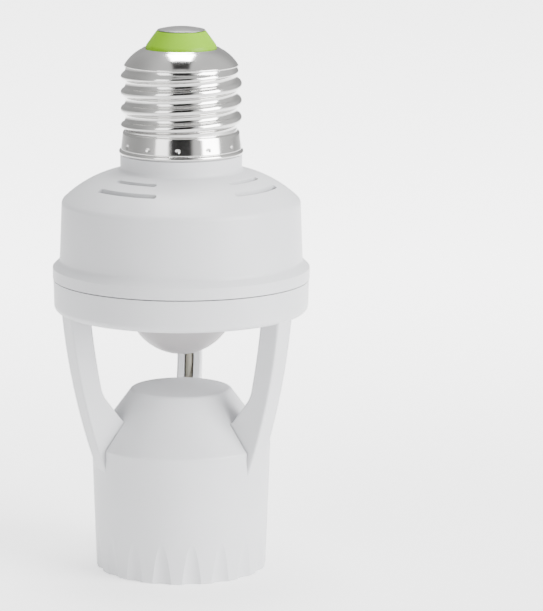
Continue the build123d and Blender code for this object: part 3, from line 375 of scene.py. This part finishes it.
def make_rolling_marks():
    """Marks of turning and rolling round the Z axis: fine rings, and patches of handling haze.

    The rings are noise on (distance from the axis, angle, height), squeezed along the first and the last.
    """
    group, nodes, link, source, sink = new_group(
        "Rolling marks", {"Ring Scale": 1.0, "Haze Scale": 120.0}, ("Rings", "Haze"))
    math = partial(math_node, nodes, link)
    vector, ring_scale, haze_scale = source.outputs[:3]
    x, y, height = split_node(nodes, link, vector)
    out = math("POWER", math("ADD", math("MULTIPLY", x, x), math("MULTIPLY", y, y)), 0.5)
    join = nodes.new("ShaderNodeCombineXYZ")
    link(math("MULTIPLY", out, RINGS_PER_METRE), join.inputs["X"])
    link(math("MULTIPLY", math("ARCTAN2", y, x), RING_WANDER), join.inputs["Y"])
    link(math("MULTIPLY", height, RINGS_PER_METRE), join.inputs["Z"])
    link(noise_node(nodes, link, join.outputs[0], ring_scale), sink.inputs["Rings"])
    link(noise_node(nodes, link, vector, haze_scale, detail=4.0, roughness=0.6), sink.inputs["Haze"])
    return group


MOULDING_SKIN = make_moulding_skin()
ROLLING_MARKS = make_rolling_marks()


def new_material(name):
    """Material with a Principled shader; gives its nodes, link call, shader and Object coordinates too."""
    material = bpy.data.materials.new(name)
    material.use_nodes = True
    nodes = material.node_tree.nodes
    coordinates = nodes.new("ShaderNodeTexCoord").outputs["Object"]
    return material, nodes, material.node_tree.links.new, nodes["Principled BSDF"], coordinates


def ramp_between(nodes, link, factor, low_at, low, high_at, high, socket):
    """Colour or grey ramp from low to high between two places of a factor, linked to a socket."""
    ramp = nodes.new("ShaderNodeValToRGB")
    for element, place, value in zip(ramp.color_ramp.elements, (low_at, high_at), (low, high)):
        element.position = place
        element.color = (value, value, value, 1) if isinstance(value, float) else (*value, 1)
    link(factor, ramp.inputs[0])
    link(ramp.outputs[0], socket)


def bump_from(nodes, link, height, distance, strength, shader):
    """Bump of the given depth in metres on the shader's normal."""
    bump = nodes.new("ShaderNodeBump")
    bump.inputs["Strength"].default_value = strength
    bump.inputs["Distance"].default_value = distance
    link(height, bump.inputs["Height"])
    link(bump.outputs[0], shader.inputs["Normal"])


def moulded_plastic(name, shade, roughness=0.42, grain=4000.0, depth=4e-6, spread=0.03, subsurface=0.0,
                    coat=0.0, ior=1.49):
    """Moulded plastic: clouds vary its colour by a share spread, and its gloss, and the grain dents it."""
    material, nodes, link, shader, coordinates = new_material(name)
    skin = nodes.new("ShaderNodeGroup")
    skin.node_tree = MOULDING_SKIN
    skin.inputs["Grain Scale"].default_value = grain
    link(coordinates, skin.inputs["Vector"])
    clouds = skin.outputs["Clouds"]
    darker = tuple(part * (1 - spread) for part in shade)
    paler = tuple(min(part * (1 + spread), 1.0) for part in shade)
    ramp_between(nodes, link, clouds, 0.3, darker, 0.7, paler, shader.inputs["Base Color"])
    ramp_between(nodes, link, clouds, 0.25, roughness - 0.04, 0.75, roughness + 0.05,
                 shader.inputs["Roughness"])
    bump_from(nodes, link, skin.outputs["Grain"], depth, 0.5, shader)
    shader.inputs["IOR"].default_value = ior
    shader.inputs["Coat Weight"].default_value = coat
    if subsurface:
        shader.inputs["Subsurface Weight"].default_value = subsurface
        shader.inputs["Subsurface Radius"].default_value = (0.0016, 0.0014, 0.0013)
        shader.inputs["Subsurface Scale"].default_value = 1.0
    return material


def rolled_metal(name, shade, roughness=0.2, ring_scale=1.0, depth=3e-6, haze=0.06):
    """Metal with fine marks round the Z axis; haze varies the gloss and dulls the colour a little."""
    material, nodes, link, shader, coordinates = new_material(name)
    marks = nodes.new("ShaderNodeGroup")
    marks.node_tree = ROLLING_MARKS
    marks.inputs["Ring Scale"].default_value = ring_scale
    link(coordinates, marks.inputs["Vector"])
    dulled = tuple(part * 0.9 for part in shade)
    ramp_between(nodes, link, marks.outputs["Haze"], 0.3, shade, 0.75, dulled,
                 shader.inputs["Base Color"])
    ramp_between(nodes, link, marks.outputs["Haze"], 0.3, roughness, 0.8, roughness + haze,
                 shader.inputs["Roughness"])
    bump_from(nodes, link, marks.outputs["Rings"], depth, 0.35, shader)
    shader.inputs["Metallic"].default_value = 1.0
    return material


def laminate_board(name):
    """Lacquered circuit board: dark green with paler tracks, bands of a stretched wave bent by noise."""
    material, nodes, link, shader, coordinates = new_material(name)
    wave = nodes.new("ShaderNodeTexWave")
    wave.inputs["Scale"].default_value = 90.0
    wave.inputs["Distortion"].default_value = 6.0
    wave.inputs["Detail"].default_value = 1.0
    wave.inputs["Detail Scale"].default_value = 0.6
    link(coordinates, wave.inputs["Vector"])
    bands = wave.outputs["Fac"]
    laminate, track = (0.012, 0.09, 0.030), (0.030, 0.17, 0.055)
    ramp_between(nodes, link, bands, 0.46, laminate, 0.52, track, shader.inputs["Base Color"])
    ramp_between(nodes, link, bands, 0.46, 0.34, 0.52, 0.26, shader.inputs["Roughness"])
    bump_from(nodes, link, bands, 2e-5, 0.4, shader)
    return material


def paint(owner, material):
    """Gives a piece one material on all its faces."""
    owner.data.materials.clear()
    owner.data.materials.append(material)


lead_insulation = partial(moulded_plastic, grain=2500.0)

white_casing = moulded_plastic("White moulded casing", (0.55, 0.555, 0.57), roughness=0.40,
                               subsurface=0.04)
# Lens: the milky, translucent plastic is its own, but its grey base colour, darker than the white casing, is
# painted shade for the shade the lens hangs in under the ring.
milky_plastic = moulded_plastic("Milky lens plastic with painted shade", (0.33, 0.315, 0.32), roughness=0.38, grain=2500.0,
                                depth=3e-6, spread=0.015, subsurface=0.6)
green_glaze = moulded_plastic("Green cast insulator", (0.165, 0.36, 0.0), roughness=0.4, grain=900.0,
                              depth=1e-5, spread=0.06, ior=1.25)
blue_trimmer = moulded_plastic("Blue trimmer plastic", (0.03, 0.10, 0.30), roughness=0.45)
black_chip = moulded_plastic("Black rectifier casing", (0.016, 0.016, 0.017), roughness=0.5)
grey_lead = lead_insulation("Grey lead insulation", (0.27, 0.255, 0.205), roughness=0.5)
nickel = rolled_metal("Nickel plated sheet", (0.70, 0.695, 0.68), roughness=0.12, haze=0.04)
grey_contact = rolled_metal("Grey contact metal", (0.34, 0.34, 0.335), roughness=0.38, ring_scale=0.6,
                            haze=0.12)
zinc = rolled_metal("Zinc plated steel", (0.55, 0.55, 0.53), roughness=0.32)
brass = rolled_metal("Bare brass", (0.72, 0.54, 0.24), roughness=0.26)

FINISHES = {
    "lower_frame": white_casing, "upper_housing": white_casing,
    "time_knob": white_casing, "lux_knob": white_casing,
    "circuit_board": laminate_board("Green board laminate"),
    "housing_screws": zinc, "board_screws": zinc, "socket_screws": zinc, "pir_sensor": zinc,
    "time_trimmer": blue_trimmer, "lux_trimmer": blue_trimmer,
    "photocell": moulded_plastic("Red light cell lacquer", (0.35, 0.08, 0.03), roughness=0.3, coat=0.3),
    "relay": moulded_plastic("Blue relay casing", (0.012, 0.055, 0.23), roughness=0.35),
    "dropper_capacitor": moulded_plastic("Yellow film capacitor casing", (0.55, 0.28, 0.02), roughness=0.33),
    "bridge_rectifier": black_chip, "sensor_chip": black_chip,
    "filter_capacitor": moulded_plastic("Black capacitor sleeve", (0.02, 0.02, 0.024), roughness=0.28),
    "fuse_resistor": moulded_plastic("Grey-green resistor lacquer", (0.16, 0.26, 0.23), roughness=0.4),
    "socket_liner": moulded_plastic("Off-white socket moulding", (0.66, 0.65, 0.61), roughness=0.5),
    "centre_contact": brass, "shell_rivets": brass, "contact_rivet": brass,
    "socket_neutral_lead": grey_lead, "socket_live_lead": grey_lead,
    "cap_live_lead": lead_insulation("Red lead insulation", (0.40, 0.02, 0.015), roughness=0.45),
    "cap_neutral_lead": lead_insulation("Blue lead insulation", (0.012, 0.05, 0.24), roughness=0.45),
}
for node_name, finish in FINISHES.items():
    paint(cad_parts[node_name], finish)

SURFACES = (
    (make_cap_shell, "cap_shell", "nickel", nickel),
    (make_insulator, "cap_insulator", "green_insulator", green_glaze),
    (make_end_contact, "cap_contact", "grey_metal", grey_contact),
    (make_dome_lens, "pir_lens", "milky_plastic", milky_plastic),
    (make_lamp_shell, "screw_shell", "nickel", nickel),
)
for make, node_name, slot_name, finish in SURFACES:
    piece = make()
    paint(piece, finish)
    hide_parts(node_name)
    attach(piece, "holder")

# Studio, in metres. Each fade goes from the place where it is 0 to the place where it is 1.
FLOOR_REACH, FLOOR_SHADE = 4.0, 0.80
TABLE_GLOW, GLOW_MIDDLE = 3.5, 0.05
GLOW_SIDE_FADE, GLOW_FRONT_FADE, GLOW_BACK_FADE = (0.34, 0.17), (-0.14, -0.045), (-0.05, 0.4)
GLOW_NEAR, GLOW_BEHIND = 0.35, 0.65


def table_paper():
    """Pale paper, lit from below behind and under the holder; this light fades to the sides and the front."""
    material, nodes, link, shader, coordinates = new_material("Pale table")
    math, fade = partial(math_node, nodes, link), partial(fade_node, nodes, link)
    across, ahead, _ = split_node(nodes, link, coordinates)
    beside = math("ABSOLUTE", math("SUBTRACT", across, GLOW_MIDDLE))
    away = math("MULTIPLY_ADD", fade(ahead, *GLOW_BACK_FADE), GLOW_BEHIND, GLOW_NEAR)
    lit = math("MULTIPLY", math("MULTIPLY", away, fade(ahead, *GLOW_FRONT_FADE)),
               fade(beside, *GLOW_SIDE_FADE))
    tooth = noise_node(nodes, link, coordinates, 300.0)
    ramp_between(nodes, link, tooth, 0.3, 0.76, 0.7, 0.84, shader.inputs["Roughness"])
    bump_from(nodes, link, tooth, 1e-5, 0.5, shader)
    shader.inputs["Base Color"].default_value = (FLOOR_SHADE, FLOOR_SHADE, FLOOR_SHADE, 1)
    shader.inputs["Emission Color"].default_value = (1, 1, 1, 1)
    link(math("MULTIPLY", lit, TABLE_GLOW), shader.inputs["Emission Strength"])
    return material


def add_floor():
    """Plain pale table lit from below, wide enough to fill the picture, with a faint paper tooth."""
    corners = [(x * FLOOR_REACH, y * FLOOR_REACH, 0) for x, y in ((-1, -1), (1, -1), (1, 1), (-1, 1))]
    mesh = bpy.data.meshes.new("studio_floor")
    mesh.from_pydata(corners, [], [(0, 1, 2, 3)])
    floor = bpy.data.objects.new("studio_floor", mesh)
    bpy.context.scene.collection.objects.link(floor)
    paint(floor, table_paper())


LIGHT_TARGET = Vector((0, 0, 0.06))
SOFT_LIGHTS = (    # name, place, width and height, power in watts
    ("right_box", (0.85, -0.50, 0.45), (0.7, 0.8), 32.0),
    ("left_box", (-0.55, -0.72, 0.45), (0.45, 0.8), 4.5),
    ("top_light", (0.0, 0.24, 1.1), (0.42, 0.5), 16.0),
)


def add_soft_light(name, place, size, power):
    """Rectangular area light at a place, aimed at the lower part of the holder."""
    light = bpy.data.lights.new(name, "AREA")
    light.shape = "RECTANGLE"
    light.size, light.size_y = size
    light.energy = power
    lamp = bpy.data.objects.new(name, light)
    bpy.context.scene.collection.objects.link(lamp)
    lamp.location = place
    lamp.rotation_euler = (LIGHT_TARGET - Vector(place)).to_track_quat("-Z", "Y").to_euler()


GAP_SHADE, GAP_SIDE_FADE, GAP_TOP_FADE, GAP_FRONT_FADE = 0.97, (0.45, 0.29), (0.80, 0.74), (-0.3, -0.5)
LID_SIDE_FADE, LID_BACK_FADE = (0.26, 0.18), (0.06, 0.0)
LID_FRONT_FADE, LID_UP_FADE = (-0.50, -0.42), (0.6, 0.7)
SIDE_SHADE, LEFT_FADE, BACK_FADE = 0.45, (0.25, 0.90), (0.45, 0.95)
LEFTWARD_X, LEFTWARD_Y = -0.857, 0.515


def light_the_room():
    """Pale room with an upright dark gap in front, between the soft boxes, and dimmer left and back sides.

    (X, Y, Z) is the direction from the holder. The gap is where Y is well below 0 and |X| and |Z| are
    small. A small dark lid lies over it, steeply above the holder. The dim part is where Y, or the share
    of the direction that points left and a little back, is large. The deepest shade counts.
    """
    world = bpy.data.worlds.new("Pale room")
    bpy.context.scene.world = world
    world.use_nodes = True
    nodes, link = world.node_tree.nodes, world.node_tree.links.new
    math, fade = partial(math_node, nodes, link), partial(fade_node, nodes, link)
    background = nodes["Background"]
    background.inputs["Color"].default_value = (1, 1, 1, 1)
    direction = nodes.new("ShaderNodeTexCoord").outputs["Generated"]
    across, ahead, up = split_node(nodes, link, direction)
    beside = math("ABSOLUTE", across)
    gap_front = math("MULTIPLY", fade(beside, *GAP_SIDE_FADE), fade(math("ABSOLUTE", up), *GAP_TOP_FADE))
    gap = math("MULTIPLY", gap_front, fade(ahead, *GAP_FRONT_FADE))
    lid_depth = math("MULTIPLY", fade(ahead, *LID_BACK_FADE), fade(ahead, *LID_FRONT_FADE))
    lid_area = math("MULTIPLY", fade(beside, *LID_SIDE_FADE), lid_depth)
    lid = math("MULTIPLY", lid_area, fade(up, *LID_UP_FADE))
    leftward = math("MULTIPLY_ADD", ahead, LEFTWARD_Y, math("MULTIPLY", across, LEFTWARD_X))
    dim = math("MAXIMUM", fade(leftward, *LEFT_FADE), fade(ahead, *BACK_FADE))
    shade = math("MAXIMUM", math("MULTIPLY", math("MAXIMUM", gap, lid), GAP_SHADE),
                 math("MULTIPLY", dim, SIDE_SHADE))
    link(math("SUBTRACT", 1.0, shade), background.inputs["Strength"])


CAMERA_PLACE, CAMERA_PITCH = (0.0, -0.780, 0.2077), 10.886
FOCAL_PIXELS, AXIS_PIXEL = 3661.8, 181.2
PHOTO_WIDTH, PHOTO_HEIGHT, SENSOR = 543, 611, 36.0


def add_camera():
    """Camera of the photograph: long lens, a little above the holder, with the axis left of the middle."""
    view = bpy.data.cameras.new("photo_camera")
    view.sensor_fit, view.sensor_height, view.sensor_width = "VERTICAL", SENSOR, SENSOR
    view.lens = FOCAL_PIXELS * SENSOR / PHOTO_HEIGHT
    view.shift_x = (PHOTO_WIDTH / 2 - AXIS_PIXEL) / PHOTO_HEIGHT
    view.clip_start = 0.05
    camera = bpy.data.objects.new("photo_camera", view)
    bpy.context.scene.collection.objects.link(camera)
    camera.location = CAMERA_PLACE
    camera.rotation_euler = (radians(90 - CAMERA_PITCH), 0, 0)
    bpy.context.scene.camera = camera


add_floor()
light_the_room()
for soft_light in SOFT_LIGHTS:
    add_soft_light(*soft_light)
add_camera()
